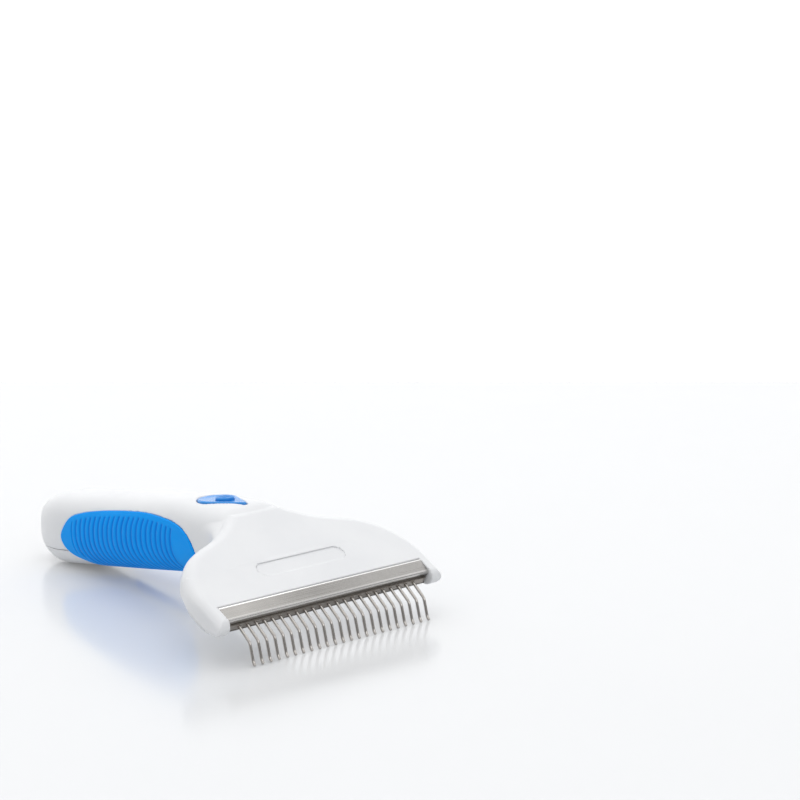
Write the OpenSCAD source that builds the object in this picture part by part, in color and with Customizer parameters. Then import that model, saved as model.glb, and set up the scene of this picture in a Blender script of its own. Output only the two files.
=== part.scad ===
// Deshedding tool with curved wire tines, a thumb button and a fur ejector.
// Lies as it rests on a table: tine tips and the underside of the tail touch z = 0.
// +Y runs along the handle towards its tail, X across the head, and the tines face -Y.
// Stations (s) are distances behind the line of the tine tips. The frame's origin is
// under the middle of the whole tool, so every station is shifted by mid_s at the end.

/* [Head] */
// Width of the plastic head
head_w = 113.4; // [113:0.2:118]
// Length of the steel channel across the front
channel_len = 101.6; // [101:0.2:103]
// Slope of the head's top face, in degrees
head_slope = 28; // [27:0.5:29]
// Thickness of the head, square to its top face
head_thick = 10.4; // [10.3:0.1:10.8]

/* [Tines] */
// Number of tines
tine_count = 23; // [19:2:23]
// Distance between tines
tine_pitch = 4; // [3.8:0.1:4]
// Diameter of the tine wire
tine_d = 1.2; // [1:0.1:1.3]
// Slope of the tine shanks, in degrees
tine_slope = 38.3; // [37.5:0.1:39]

/* [Handle] */
// Station of the tail's end
tail_s = 183; // [180:0.5:184]
// Full width of the handle at its middle
handle_w = 32; // [31:0.5:33]
// Squareness of the handle's cross-section, 2 being an ellipse
squareness = 2.9; // [2.6:0.1:3.2]
// Wall thickness of the two shells
wall = 2; // [1.8:0.1:2.1]
// Length of the hanging slot
hang_len = 14.5; // [13:0.5:16]
// Width of the hanging slot
hang_w = 9; // [8:0.5:9.5]

/* [Button and ejector] */
// Radius of the teardrop button's round end
button_r = 8; // [7.6:0.1:8.2]
// Wire of the return spring
spring_wire = 0.6; // [0.5:0.05:0.7]

/* [Hidden] */

$fn = 48;
white = [0.93, 0.93, 0.94];
blue = [0.02, 0.50, 0.87];
button_blue = [0.16, 0.53, 0.88];
steel = [0.72, 0.70, 0.67];
dark = [0.20, 0.20, 0.21];
gap = 0.05; // between sliding faces

// ---- small helpers ----
function spow(v, e) = sign(v) * pow(abs(v), e);
function mix(a, b, t) = a + (b - a) * t;
// Catmull-Rom curve through [x, y] points, read at x
function curve(p, x, i = 0) =
    i < len(p) - 2 && x > p[i + 1][0] ? curve(p, x, i + 1) :
    let (
        a = p[i], b = p[i + 1],
        before = i > 0 ? p[i - 1] : 2 * a - b,
        after = i < len(p) - 2 ? p[i + 2] : 2 * b - a,
        m0 = (b[1] - before[1]) / (b[0] - before[0]),
        m1 = (after[1] - a[1]) / (after[0] - a[0]),
        w = b[0] - a[0], t = (x - a[0]) / w
    )
    (2 * t * t * t - 3 * t * t + 1) * a[1] + (t * t * t - 2 * t * t + t) * w * m0
        + (3 * t * t - 2 * t * t * t) * b[1] + (t * t * t - t * t) * w * m1;

// Closed solid through rings that all have the same number of points
module loft(rings) {
    n = len(rings[0]);
    m = len(rings);
    polyhedron(
        points = [for (r = rings) for (p = r) p],
        faces = concat(
            [[for (i = [n - 1:-1:0]) i]],
            [for (j = [0:m - 2]) for (i = [0:n - 1])
                let (k = (i + 1) % n) each [
                    [j * n + i, (j + 1) * n + k, (j + 1) * n + i],
                    [j * n + i, j * n + k, (j + 1) * n + k]
                ]],
            [[for (i = [0:n - 1]) (m - 1) * n + i]]
        ),
        convexity = 6
    );
}

// Draws a [station, height] outline and gives it the width from x0 to x1
module side_plate(x0, x1) {
    translate([x0, 0, 0]) rotate([90, 0, 90]) linear_extrude(x1 - x0) children();
}

// ---- the head's own plane: u runs back up its slope, t stands out of its top face ----
edge_s = 12.1; // where the plastic meets the channel's top edge
edge_z = 21.4;
function head_pt(u, t) = [
    edge_s + u * cos(head_slope) - t * sin(head_slope),
    edge_z + u * sin(head_slope) + t * cos(head_slope)
];
module in_head() {
    translate([0, edge_s, edge_z]) rotate([head_slope, 0, 0]) children();
}
module head_plate(x0, x1) {
    in_head() side_plate(x0, x1) children();
}

// ---- the shanks' own line: a runs back along the shank from the mouth, b stands square to it ----
mouth_u = -6.6;
mouth_t = -5.1;
mouth = head_pt(mouth_u, mouth_t);
module along_shank(at = mouth) {
    translate([0, at[0], at[1]]) rotate([tine_slope, 0, 0]) children();
}

// ================= body =================
handle_front = 36;
top_line = [[36, 34.0], [44, 38.3], [50, 41.5], [56, 43.9], [68, 43.6], [80, 42.8], [95, 41.2],
    [116, 38.0], [140, 33.9], [165, 30.2], [185, 29.0]];
bottom_line = [[36, 25.5], [43, 22.6], [49, 18.4], [56, 16.2], [66, 15.2], [79, 13.3], [104, 9.4],
    [137, 4.3], [156, 1], [166, -0.3], [185, -0.4]];
width_line = [[36, 18.5], [46, 18], [56, 17.2], [68, 16.4], [90, 15.7], [118, 16], [145, 15.4],
    [165, 14.6], [185, 14.2]];
round_from = 158; // the tail starts to round off here
// Shrinks to nothing at the tail's end, for a surface sunk by d
function tail_taper(s, d = 0) = s <= round_from ? 1 :
    let (q = min(1, (s - round_from) / (tail_s - d - round_from))) pow(1 - pow(q, 2.2), 1 / 2.2);
function half_h(s, d = 0) = ((curve(top_line, s) - curve(bottom_line, s)) / 2 - d) * tail_taper(s, d);
function mid_z(s) = (curve(top_line, s) + curve(bottom_line, s)) / 2;
function half_w(s, d = 0) = (curve(width_line, s) * handle_w / 32 - d) * tail_taper(s, d);

handle_sides = 24;
// Ring of the handle's surface at station s, sunk by d
function handle_ring(s, d) = [
    for (i = [0:handle_sides - 1]) let (a = i * 360 / handle_sides, e = 2 / squareness)
        [half_w(s, d) * spow(cos(a), e), s, mid_z(s) + half_h(s, d) * spow(sin(a), e)]
];
tail_lift = -min([for (s = [round_from - 8:0.5:tail_s - 1]) mid_z(s) - half_h(s)]);
function handle_stations(d) = concat(
    [for (s = [handle_front:8.4:round_from - 3]) s],
    [for (i = [0:7]) mix(round_from, tail_s - d, sin(i * 12.4))]
);
module handle_solid(d = 0) {
    translate([0, 0, tail_lift]) loft([for (s = handle_stations(d)) handle_ring(s, d)]);
}

// Plan outline of the head: back edge from the neck, then a round corner
corner_r = 22;
back_slope = 0.3;
neck_x = 14;
neck_s = 44.8; // station of the head's back edge at neck_x
side_x = head_w / 2;
corner_x = side_x - corner_r;
back_turn = atan(back_slope);
function back_s(x) = let (
        knee_x = corner_x + corner_r * sin(back_turn),
        knee_s = neck_s - back_slope * (knee_x - neck_x),
        centre_s = knee_s - corner_r * cos(back_turn)
    )
    x < knee_x
        ? neck_s - back_slope * (x - neck_x)
        : centre_s + sqrt(max(0, pow(corner_r, 2) - pow(x - corner_x, 2)));
front_u = -10.2; // front of the end cheeks
// Side view of the head, sunk by d: level chin and a blunt nose, at [u, t]
function head_profile(d) = let (half = head_thick / 2, h = half - d, nose = front_u + d) [
    [50, h - half], [50, -h - half], [nose + 9, -h - half], [nose + 1.9, -0.31 * h - half],
    [nose + 0.5, 0.04 * h - half], [nose, 0.38 * h - half], [nose + 0.5, 0.71 * h - half],
    [nose + 1.7, 0.92 * h - half], [nose + 4.2, h - half]
];
function head_back_u(x) = (back_s(abs(x)) - edge_s) / cos(head_slope) + 0.8;
// Plan of the head, sunk by d, at [x, u]
function head_plan(d) = let (reach = side_x - d) concat(
    [[reach, -20], [reach, head_back_u(reach) - d]],
    [for (a = [10:16:74]) let (x = corner_x + (corner_r - d) * cos(a)) [x, head_back_u(x) - d]],
    [for (x = [38, 26, 14, -14, -26, -38]) [x, head_back_u(x) - d]],
    [for (a = [74:-16:10]) let (x = -corner_x - (corner_r - d) * cos(a)) [x, head_back_u(x) - d]],
    [[-reach, head_back_u(reach) - d], [-reach, -20]]
);
module head_solid(d = 0) {
    intersection() {
        head_plate(-side_x, side_x) polygon(head_profile(d));
        in_head() translate([0, 0, -30]) linear_extrude(60) polygon(head_plan(d));
    }
}

// ---- joint between the two shells ----
joint_t = -head_thick + wall + 0.2;
function joint_z(s) = mid_z(s) + tail_lift - 0.55 * half_at(s);
function half_at(s) = curve([[40, 8], [60, 14], [130, 14.5], [185, 13.5]], s);
module above_joint() {
    side_plate(-70, 70) polygon(concat(
        [head_pt(-16, joint_t), head_pt(31, joint_t)],
        [for (s = [48:6:186]) [s, joint_z(s)]],
        [[190, 80], [-20, 80]]
    ));
}
module body_outer() {
    handle_solid();
    head_solid();
}
module body_inner() {
    intersection() {
        handle_solid(wall);
        translate([-50, handle_front + 3, -10]) cube([100, 200, 80]);
    }
    intersection() {
        head_solid(wall);
        union() {
            head_plate(-60, 60) translate([5.6, -20]) square([60, 40]);
            head_plate(-channel_len / 2, channel_len / 2) translate([-2.5, -20]) square([60, 40]);
        }
    }
}
// Room between the cheeks for the steel channel and what it holds
module cartridge_space() {
    side = channel_len / 2 + 0.1;
    along_shank() side_plate(-side, side) polygon([
        [-25, -30], [0.2, -30], [0.2, plate_b - sheet], [10, plate_b - sheet],
        in_shank(2, -wall), in_shank(0.05, -wall), in_shank(0.05, 0), [8, 30], [-25, 30]
    ]);
}

// ---- hanging slot through the tail ----
hang_s = 169.5;
module hang_slot(r, h0 = -5, h1 = 60) {
    reach = hang_len / 2 - hang_w / 2;
    for (side = [-1, 1]) translate([0, hang_s + side * reach, h0]) cylinder(r = r, h = h1 - h0);
    translate([-r, hang_s - reach, h0]) cube([2 * r, 2 * reach, h1 - h0]);
}

// ---- label panel: a plain recess with round ends ----
panel_u = 13.2;
panel_w = 43;
panel_h = 7.2;
panel_deep = 0.5;
module panel_recess() {
    in_head() translate([0, panel_u, -panel_deep]) {
        for (side = [-1, 1])
            translate([side * (panel_w - panel_h) / 2, 0, 0]) cylinder(d = panel_h, h = 5);
        translate([-(panel_w - panel_h) / 2, -panel_h / 2, 0]) cube([panel_w - panel_h, panel_h, 5]);
    }
}

// ---- soft grips let into both sides ----
grip_proud = 0.5;
grip_deep = 1.1;
grip_top = [[67.4, 23.5], [69.7, 27.3], [73, 30.9], [77, 33.1], [83, 34.5], [98, 34.8], [110, 33.5],
    [123, 31.3], [134, 29], [143, 26.5], [150, 23.6], [154.4, 19], [156.5, 15.5]];
grip_edge = [[67.4, -28], [71, -42], [75.5, -54], [82, -74], [95, -83], [130, -83], [137, -66],
    [142.5, -46], [149, -30], [154, -15], [156.5, -4]]; // the lower edge, as an angle round the handle
grip_stations = [67.4, 69, 71.5, 75, 80, 88, 97, 106, 115, 124, 131, 137, 143, 148, 152, 155, 156.5];
grip_sides = 7;
function grip_angle(s) = asin(spow((curve(grip_top, s) - mid_z(s)) / half_h(s), squareness / 2));
function grip_arc(s, d) = let (a0 = curve(grip_edge, s), a1 = grip_angle(s), e = 2 / squareness) [
    for (i = [0:grip_sides]) let (a = mix(a0, a1, i / grip_sides))
        [(half_w(s) - d) * spow(cos(a), e), s, mid_z(s) + (half_h(s) - d) * spow(sin(a), e)]
];
// Patch of the handle's right side between two depths
module grip_patch(inner, outer) {
    translate([0, 0, tail_lift]) loft([for (s = grip_stations) let (p = grip_arc(s, inner))
        concat(grip_arc(s, outer), [for (i = [grip_sides:-1:0]) p[i]])]);
}
module grip_pocket() {
    for (side = [0, 1]) mirror([side, 0, 0]) grip_patch(grip_deep, -3);
}
module grip() {
    grip_patch(grip_deep, -grip_proud);
}

// ================= fasteners =================
screw_r = 0.8;
screw_head_r = 2;
screw_head_h = 1;
head_screw_spots = [[-40, 20.5], [-22, 27], [22, 27], [40, 20.5]];
handle_screw_spots = [98, 126, 152];
// Screw standing on z = 0 with its cross-slotted head below
module screw(length, r = screw_r, head_r = screw_head_r, head_h = screw_head_h) {
    cylinder(r = r, h = length);
    difference() {
        translate([0, 0, -head_h]) cylinder(r = head_r, h = head_h);
        for (turn = [0, 90]) rotate([0, 0, turn])
            translate([-head_r * 0.6, -head_r * 0.13, -head_h - 1])
                cube([head_r * 1.2, head_r * 0.26, 1.5]);
    }
}
function handle_bottom(s) = curve(bottom_line, s) + tail_lift;
screw_sink = 3; // depth of the handle screws' pockets
head_sink = 1.2; // depth of the head screws' pockets
head_grip_len = 5; // lengths of screw in each boss
handle_grip_len = 8;
block_grip_len = 3;

// ================= button and its guide =================
button_s = 73.5;      // axis of the button's round end
tip_s = 57.7;         // axis of its pointed end
tip_r = 1.2;
cap_top = 43.1;       // height of the cap over its round end
cap_slope = 5;
cap_bottom = 37;
roof_z = 40.2;        // inside of the cap, which the spring pushes on
stem_r = 5;
stem_bottom = 27.4;
deck_bottom = 30.6;
deck_top = 32;
// Outline of a teardrop, grown by g
function teardrop(g) = let (turn = asin((button_r - tip_r) / (button_s - tip_s))) concat(
    [for (a = [-90 - turn:15:90 + turn]) [(button_r + g) * sin(a), button_s + (button_r + g) * cos(a)]],
    [for (a = [90 + turn:24:270 - turn]) [(tip_r + g) * sin(a), tip_s + (tip_r + g) * cos(a)]]
);
module drop_prism(g, z0, z1) {
    translate([0, 0, z0]) linear_extrude(z1 - z0) polygon(teardrop(g));
}
// Half-space under the cap's sloping top, raised by up
module under_cap_top(up = 0) {
    translate([0, button_s, cap_top + up]) rotate([-cap_slope, 0, 0]) translate([-20, -30, -30])
        cube([40, 60, 30]);
}

// ---- T-shaped rail on the carriage, which the stem's slot holds ----
body_top = 27;
body_bottom = 23;
rail_foot = 28.6;
rail_top = 30;
rail_w = 6.4;
rail_s0 = 68;  // stations of the rail's ends
rail_s1 = 83.5;
slide_s0 = 62; // stations of the carriage body's ends
slide_s1 = 84;
slide_half = 8.6;
neck_w = 3;
module tee(g) {
    side_plate(-neck_w / 2 - g, neck_w / 2 + g)
        polygon([
            [rail_s0, body_top - 1], [rail_s1, body_top - 1],
            [rail_s1, rail_top - 0.5], [rail_s0, rail_top - 0.5]
        ]);
    side_plate(-rail_w / 2 - g, rail_w / 2 + g)
        polygon([
            [rail_s0, rail_foot - g], [rail_s1, rail_foot - g],
            [rail_s1, rail_top + g], [rail_s0, rail_top + g]
        ]);
}

module button() {
    color(button_blue) translate([0, -mid_s, 0]) {
        difference() {
            intersection() {
                drop_prism(0, cap_bottom, 50);
                under_cap_top();
            }
            drop_prism(-1, cap_bottom - 1, roof_z);
            pad_seat();
        }
        difference() {
            translate([0, button_s, stem_bottom]) cylinder(r = stem_r, h = roof_z - stem_bottom);
            tee(gap);
        }
    }
}

pad_s = 69;
pad_r = 3.7;
module pad_seat() {
    on_cap() translate([0, 0, -0.8]) cylinder(r = pad_r, h = 5);
}
module on_cap() {
    drop = (pad_s - button_s) * tan(cap_slope);
    translate([0, pad_s, cap_top - drop]) rotate([-cap_slope, 0, 0]) children();
}
// Low dome with three grooves across it
pad_edge = 0.6;
pad_high = 1.9; // from the bottom of its seat
module thumb_pad() {
    color(button_blue) translate([0, -mid_s, 0]) on_cap() difference() {
        translate([0, 0, -0.8]) rotate_extrude() polygon(concat(
            [[0, 0], [pad_r, 0]],
            [for (a = [0:15:90]) [pad_r - pad_edge * (1 - cos(a)), pad_high - pad_edge * (1 - sin(a))]],
            [[0, pad_high]]
        ));
        for (i = [-1:1]) translate([-2.4, i * 1.7 - 0.3, pad_high - 1.2]) cube([4.8, 0.6, 2]);
    }
}

// Round wire wound up from z = 0
module coil(r, wire, length, turns) {
    steps = 12;
    sides = 6;
    loft([for (i = [0:turns * steps]) let (
            a = i * 360 / steps, rise = wire / 2 + (length - wire) * i / (turns * steps)
        ) [for (j = [0:sides - 1]) let (b = j * 360 / sides, q = r + wire / 2 * cos(b))
            [q * cos(a), q * sin(a), rise + wire / 2 * sin(b)]]]);
}
spring_r = 6.05;
spring_turns = 4;
module button_spring() {
    color(steel) translate([0, button_s - mid_s, deck_top])
        coil(spring_r, spring_wire, roof_z - deck_top, spring_turns);
}

// ---- guide block and the slanted pins that the carriage runs on ----
pin_x = 6.5;
pin_r = 1.25;
pin_low = 20.2;
pin_high = 35.3;
pin_mid = [67.7, 22.65]; // [station, height] of a point on the pins' line
block_back = 82.2;
block_end = 91;
block_top = 36.2;
block_screw_spots = [[-10, 63], [10, 63], [-6, 87.4], [6, 87.4]];
module pin_line(r, z0, z1) {
    for (side = [-1, 1])
        translate([side * pin_x, pin_mid[0], pin_mid[1]]) rotate([tine_slope - 90, 0, 0])
            translate([0, 0, (z0 - pin_mid[1]) / sin(tine_slope)])
                cylinder(r = r, h = (z1 - z0) / sin(tine_slope));
}
function block_boss_z(spot) = spot[1] > 80 ? block_top : deck_top;
module guide_block() {
    color(dark) translate([0, -mid_s, 0]) difference() {
        union() {
            translate([-12, 60, deck_bottom]) cube([24, block_end - 60, deck_top - deck_bottom]);
            translate([-9, block_back, deck_bottom])
                cube([18, block_end - block_back, block_top - deck_bottom]);
        }
        translate([0, button_s, 0]) cylinder(r = stem_r + gap, h = 60);
        pin_line(pin_r, pin_low, pin_high);
        for (p = block_screw_spots) translate([p[0], p[1], 0]) cylinder(r = 1.1, h = 60);
    }
}
module guide_pins() {
    color(steel) translate([0, -mid_s, 0]) pin_line(pin_r, pin_low, pin_high);
}
module block_screws() {
    color(steel) translate([0, -mid_s, 0]) for (p = block_screw_spots)
        translate([p[0], p[1], deck_bottom]) screw(block_boss_z(p) - deck_bottom + block_grip_len);
}

// ================= carriage and ejector comb =================
yoke_u0 = 10;
yoke_u1 = 15;
yoke_t = -3.8;
yoke_thick = 2;
spine_w = 12;
arm_x0 = 46.4;
arm_x1 = 50.1;
comb_front = -0.2;
comb_deep = 2.4;
comb_b0 = -1.55;
comb_b1 = 1.3;
rivet_spots = [[-48.9, 12.5], [-44.6, 12.5], [44.6, 12.5], [48.9, 12.5]];
module carriage() {
    color(dark) translate([0, -mid_s, 0]) {
        difference() {
            in_head() translate([0, 0, yoke_t - yoke_thick]) linear_extrude(yoke_thick) polygon([
                [-arm_x1, yoke_u0], [arm_x1, yoke_u0], [arm_x1, yoke_u1], [20, yoke_u1],
                [spine_w / 2, 29], [spine_w / 2, 34.5], [-spine_w / 2, 34.5], [-spine_w / 2, 29],
                [-20, yoke_u1], [-arm_x1, yoke_u1]
            ]);
            rivet_bores();
        }
        side_plate(-spine_w / 2 + 0.5, spine_w / 2 - 0.5) polygon([
            head_pt(31, yoke_t - yoke_thick + 0.3), head_pt(31, yoke_t - 0.3), head_pt(34, yoke_t - 0.3),
            [48.5, 33.6], [63, body_top - 0.4], [64, body_bottom + 0.4], [58, 24.5],
            head_pt(34, yoke_t - yoke_thick + 0.3)
        ]);
        difference() {
            translate([-slide_half, slide_s0, body_bottom])
                cube([2 * slide_half, slide_s1 - slide_s0, body_top - body_bottom]);
            pin_line(pin_r + gap, body_bottom - 5, body_top + 5);
        }
        tee(0);
    }
}
module rivet_bores() {
    for (p = rivet_spots) in_head() translate([p[0], p[1], -10]) cylinder(r = 1, h = 9);
}
tab_thick = 1;
module ejector_comb() {
    color(steel) translate([0, -mid_s, 0]) difference() {
        union() {
            along_shank() side_plate(-arm_x1, arm_x1) translate([comb_front, comb_b0])
                square([comb_deep, comb_b1 - comb_b0]);
            for (side = [0, 1]) mirror([side, 0, 0]) {
                along_shank() side_plate(arm_x0, arm_x1) polygon([
                    [comb_front, comb_b0], [9, comb_b0],
                    in_shank(yoke_u0 - 0.6, yoke_t - yoke_thick - tab_thick),
                    in_shank(yoke_u0 + 0.5, yoke_t - yoke_thick - tab_thick),
                    in_shank(yoke_u0 + 0.5, yoke_t - yoke_thick),
                    in_shank(yoke_u0 - 0.3, yoke_t - yoke_thick),
                    in_shank(yoke_u0 - 0.3, yoke_t), [6.5, comb_b1], [comb_front, comb_b1]
                ]);
                head_plate(43, arm_x1) translate([yoke_u0, yoke_t - yoke_thick - tab_thick])
                    square([yoke_u1 - yoke_u0, tab_thick]);
            }
        }
        tine_bores(0.1, -20, 9);
        rivet_bores();
    }
}
module comb_rivets() {
    color(steel) translate([0, -mid_s, 0]) for (p = rivet_spots)
        in_head() translate([p[0], p[1], yoke_t - yoke_thick - tab_thick]) {
            cylinder(r = 1, h = yoke_thick + tab_thick);
            translate([0, 0, yoke_thick + tab_thick]) cylinder(r = 1.5, h = 0.4);
            translate([0, 0, -0.4]) cylinder(r = 1.5, h = 0.4);
        }
}

// ================= steel channel, tine bar and tines =================
sheet = 0.5;
plate_b = -1.7;
bar_a0 = 4.4;
bar_a1 = 10;
bar_top = 1.15;
root_a = 9;
channel_screw_a = 8.4;
channel_screw_x = [-38, -22, -6, 6, 22, 38];
function in_shank(u, t) = let (du = u - mouth_u, dt = t - mouth_t, q = tine_slope - head_slope)
    [du * cos(q) + dt * sin(q), dt * cos(q) - du * sin(q)];
module channel_bores(r) {
    for (x = channel_screw_x)
        along_shank() translate([x, channel_screw_a, -5]) cylinder(r = r, h = 12);
}
// Corner i of a path, rounded with radius r
function corner(a, b, c, r) = let (
        p = (a - b) / norm(a - b), q = (c - b) / norm(c - b), half = acos(p * q) / 2,
        back = r / tan(half), centre = b + (p + q) / norm(p + q) * r / sin(half),
        n0 = (b + p * back - centre) / r, n1 = (b + q * back - centre) / r
    ) [for (i = [0:4]) let (n = n0 * (1 - i / 4) + n1 * i / 4) centre + n / norm(n) * r];
// Bent sheet to the right of a path, given as [point, corner radius] pairs
module bent_sheet(path, thickness) {
    line = [for (i = [0:len(path) - 1]) each i == 0 || i == len(path) - 1 ? [path[i][0]] :
        corner(path[i - 1][0], path[i][0], path[i + 1][0], path[i][1])];
    n = len(line);
    function way(i) = let (d = line[min(n - 1, i + 1)] - line[max(0, i - 1)]) d / norm(d);
    polygon(concat(line, [for (i = [n - 1:-1:0]) line[i] + thickness * [way(i)[1], -way(i)[0]]]));
}
module front_channel() {
    color(steel) translate([0, -mid_s, 0]) difference() {
        along_shank() side_plate(-channel_len / 2, channel_len / 2) bent_sheet([
            [[0.38, 1.45], 0], [[0.5, 4.05], 1], [in_shank(0, -0.05), 0.6],
            [in_shank(-0.02, -wall), 0.25], [in_shank(6, -wall), 0]
        ], sheet);
        channel_bores(screw_r);
    }
}
module lower_plate() {
    color(steel) translate([0, -mid_s, 0]) difference() {
        along_shank() translate([0, 0, plate_b - sheet]) {
            translate([-channel_len / 2, -0.28, 0]) cube([channel_len, 3.1, sheet]);
            translate([-45.6, 2, 0]) cube([91.2, bar_a1 - 2, sheet]);
        }
        channel_bores(screw_r);
    }
}
module tine_bar() {
    color(dark) translate([0, -mid_s, 0]) difference() {
        along_shank() side_plate(-45.6, 45.6)
            polygon([
                [bar_a0, plate_b], [bar_a1, plate_b], [bar_a1, 0.8], [8.2, bar_top], [bar_a0, bar_top]
            ]);
        tine_bores(0, -20, root_a);
        channel_bores(screw_r);
    }
}
module channel_screws() {
    color(steel) translate([0, -mid_s, 0]) for (x = channel_screw_x)
        along_shank() translate([x, channel_screw_a, plate_b - sheet])
            screw(1.3 - plate_b + sheet, screw_r, 1.5, 0.9);
}
function tine_x(i) = (i - (tine_count + 1) / 2) * tine_pitch;
module tine_bores(g, a0, a1) {
    for (i = [1:tine_count]) along_shank() translate([tine_x(i), a0, 0])
        rotate([-90, 0, 0]) cylinder(d = tine_d + 2 * g, h = a1 - a0);
}

// ---- a tine is drawn like a bent wire: straight, bend, straight, bend, round tip ----
shank_out = 7;
knee_r = 2.4;
knee_turn = 36.2;
flick_r = 4;
flick_turn = 30;
knee_slope = tine_slope + knee_turn;
tip_slope = knee_slope - flick_turn;
leg = (mouth[1] - tine_d / 2 - shank_out * sin(tine_slope) - knee_r * (cos(tine_slope) - cos(knee_slope))
    - flick_r * (cos(tip_slope) - cos(knee_slope))) / sin(knee_slope);
tip_ahead = shank_out * cos(tine_slope) + knee_r * (sin(knee_slope) - sin(tine_slope))
    + leg * cos(knee_slope) + flick_r * (sin(knee_slope) - sin(tip_slope)) + tine_d / 2 - mouth[0];
mid_s = (tail_s - tip_ahead) / 2;
wire_sides = 8;
// Centre line of a tine from its root, as [station, height, slope]
function arc_line(from, slope, turn, r, steps) = let (side = sign(turn)) [for (i = [0:steps]) let (
        q = slope + turn * i / steps
    ) [from[0] - side * r * (sin(q) - sin(slope)), from[1] + side * r * (cos(q) - cos(slope)), q]];
root = mouth + root_a * [cos(tine_slope), sin(tine_slope)];
knee = mouth - shank_out * [cos(tine_slope), sin(tine_slope)];
knee_line = arc_line(knee, tine_slope, knee_turn, knee_r, 4);
ankle = let (p = knee_line[4]) [p[0] - leg * cos(knee_slope), p[1] - leg * sin(knee_slope)];
flick_line = arc_line(ankle, knee_slope, -flick_turn, flick_r, 4);
tine_line = concat([[root[0], root[1], tine_slope]], knee_line, flick_line);
// Ring round the wire at p, with radius r, moved ahead along it
function wire_ring(p, r, ahead = 0) = [for (i = [0:wire_sides - 1]) let (b = i * 360 / wire_sides)
    [r * cos(b), p[0] - ahead * cos(p[2]) + r * sin(b) * sin(p[2]),
        p[1] - ahead * sin(p[2]) - r * sin(b) * cos(p[2])]];
module tine(i) {
    r = tine_d / 2;
    tip = flick_line[4];
    color(steel) translate([tine_x(i), -mid_s, 0]) loft(concat(
        [for (p = tine_line) wire_ring(p, r)],
        [for (a = [30, 60, 80]) wire_ring(tip, r * cos(a), tine_d / 2 * sin(a))]
    ));
}

// ================= shells =================
boss_sides = 24;
// Solid spots inside the shells, which the cavity leaves standing
module bosses() {
    for (p = head_screw_spots) in_head() translate([p[0], p[1], -head_thick])
        cylinder(r = 2.8, h = head_thick, $fn = boss_sides);
    for (s = handle_screw_spots) translate([0, s, -5]) cylinder(r = 3.6, h = 60, $fn = boss_sides);
    for (p = block_screw_spots) translate([p[0], p[1], block_boss_z(p)])
        cylinder(r = 2.4, h = 30, $fn = boss_sides);
    hang_slot(hang_w / 2 + wall);
}
module shell_body() {
    difference() {
        body_outer();
        difference() {
            body_inner();
            bosses();
        }
        cartridge_space();
        grip_pocket();
        hang_slot(hang_w / 2);
    }
}
module upper_shell() {
    color(white) translate([0, -mid_s, 0]) difference() {
        intersection() {
            shell_body();
            above_joint();
        }
        panel_recess();
        drop_prism(0.3, 30, 60);
        for (p = head_screw_spots) in_head() translate([p[0], p[1], joint_t - 1])
            cylinder(r = screw_r, h = 1 + head_grip_len);
        for (s = handle_screw_spots) translate([0, s, joint_z(s) - 1])
            cylinder(r = screw_r, h = 1 + handle_grip_len);
        for (p = block_screw_spots) translate([p[0], p[1], block_boss_z(p) - 1])
            cylinder(r = screw_r, h = 1 + block_grip_len);
    }
}
module lower_shell() {
    color(white) translate([0, -mid_s, 0]) difference() {
        shell_body();
        above_joint();
        for (p = head_screw_spots) in_head() translate([p[0], p[1], -head_thick - 1]) {
            cylinder(r = screw_r + 0.3, h = 10);
            cylinder(r = screw_head_r + 0.3, h = 1 + head_sink);
        }
        for (s = handle_screw_spots) translate([0, s, -5]) {
            cylinder(r = screw_r + 0.3, h = 60);
            cylinder(r = screw_head_r + 0.3, h = 5 + handle_bottom(s) + screw_sink);
        }
    }
}
module left_grip() {
    color(blue) translate([0, -mid_s, 0]) mirror([1, 0, 0]) grip();
}
module right_grip() {
    color(blue) translate([0, -mid_s, 0]) grip();
}
module head_screws() {
    color(steel) translate([0, -mid_s, 0]) for (p = head_screw_spots)
        in_head() translate([p[0], p[1], -head_thick + head_sink])
            screw(joint_t + head_grip_len + head_thick - head_sink);
}
module handle_screws() {
    color(steel) translate([0, -mid_s, 0]) for (s = handle_screw_spots)
        translate([0, s, handle_bottom(s) + screw_sink])
            screw(joint_z(s) + handle_grip_len - handle_bottom(s) - screw_sink);
}

upper_shell();
lower_shell();
left_grip();
right_grip();
button();
thumb_pad();
button_spring();
carriage();
ejector_comb();
comb_rivets();
guide_block();
guide_pins();
block_screws();
front_channel();
lower_plate();
tine_bar();
channel_screws();
head_screws();
handle_screws();
for (i = [1:tine_count]) tine(i);
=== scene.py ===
import math
from concurrent.futures import ThreadPoolExecutor

import bpy
import numpy as np
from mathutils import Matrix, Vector


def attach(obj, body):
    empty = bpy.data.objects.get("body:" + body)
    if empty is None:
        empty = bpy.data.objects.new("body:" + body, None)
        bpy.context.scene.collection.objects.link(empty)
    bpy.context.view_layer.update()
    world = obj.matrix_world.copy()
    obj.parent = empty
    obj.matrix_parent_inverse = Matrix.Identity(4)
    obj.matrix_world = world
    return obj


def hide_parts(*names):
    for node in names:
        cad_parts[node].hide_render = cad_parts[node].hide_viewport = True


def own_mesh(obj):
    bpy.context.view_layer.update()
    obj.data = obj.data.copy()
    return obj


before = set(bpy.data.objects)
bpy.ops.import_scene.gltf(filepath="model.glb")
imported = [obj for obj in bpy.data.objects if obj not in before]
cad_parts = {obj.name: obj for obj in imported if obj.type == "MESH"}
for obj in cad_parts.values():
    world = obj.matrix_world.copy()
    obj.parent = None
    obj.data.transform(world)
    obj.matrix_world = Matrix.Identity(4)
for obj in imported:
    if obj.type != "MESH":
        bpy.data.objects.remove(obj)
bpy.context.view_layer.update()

# Lengths are in millimetres until a mesh is made. A station s is a distance behind
# the line of the tine tips, and MID is the station of the frame's origin.
MM = 0.001
MID = 91.0397
scene = bpy.context.scene

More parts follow.
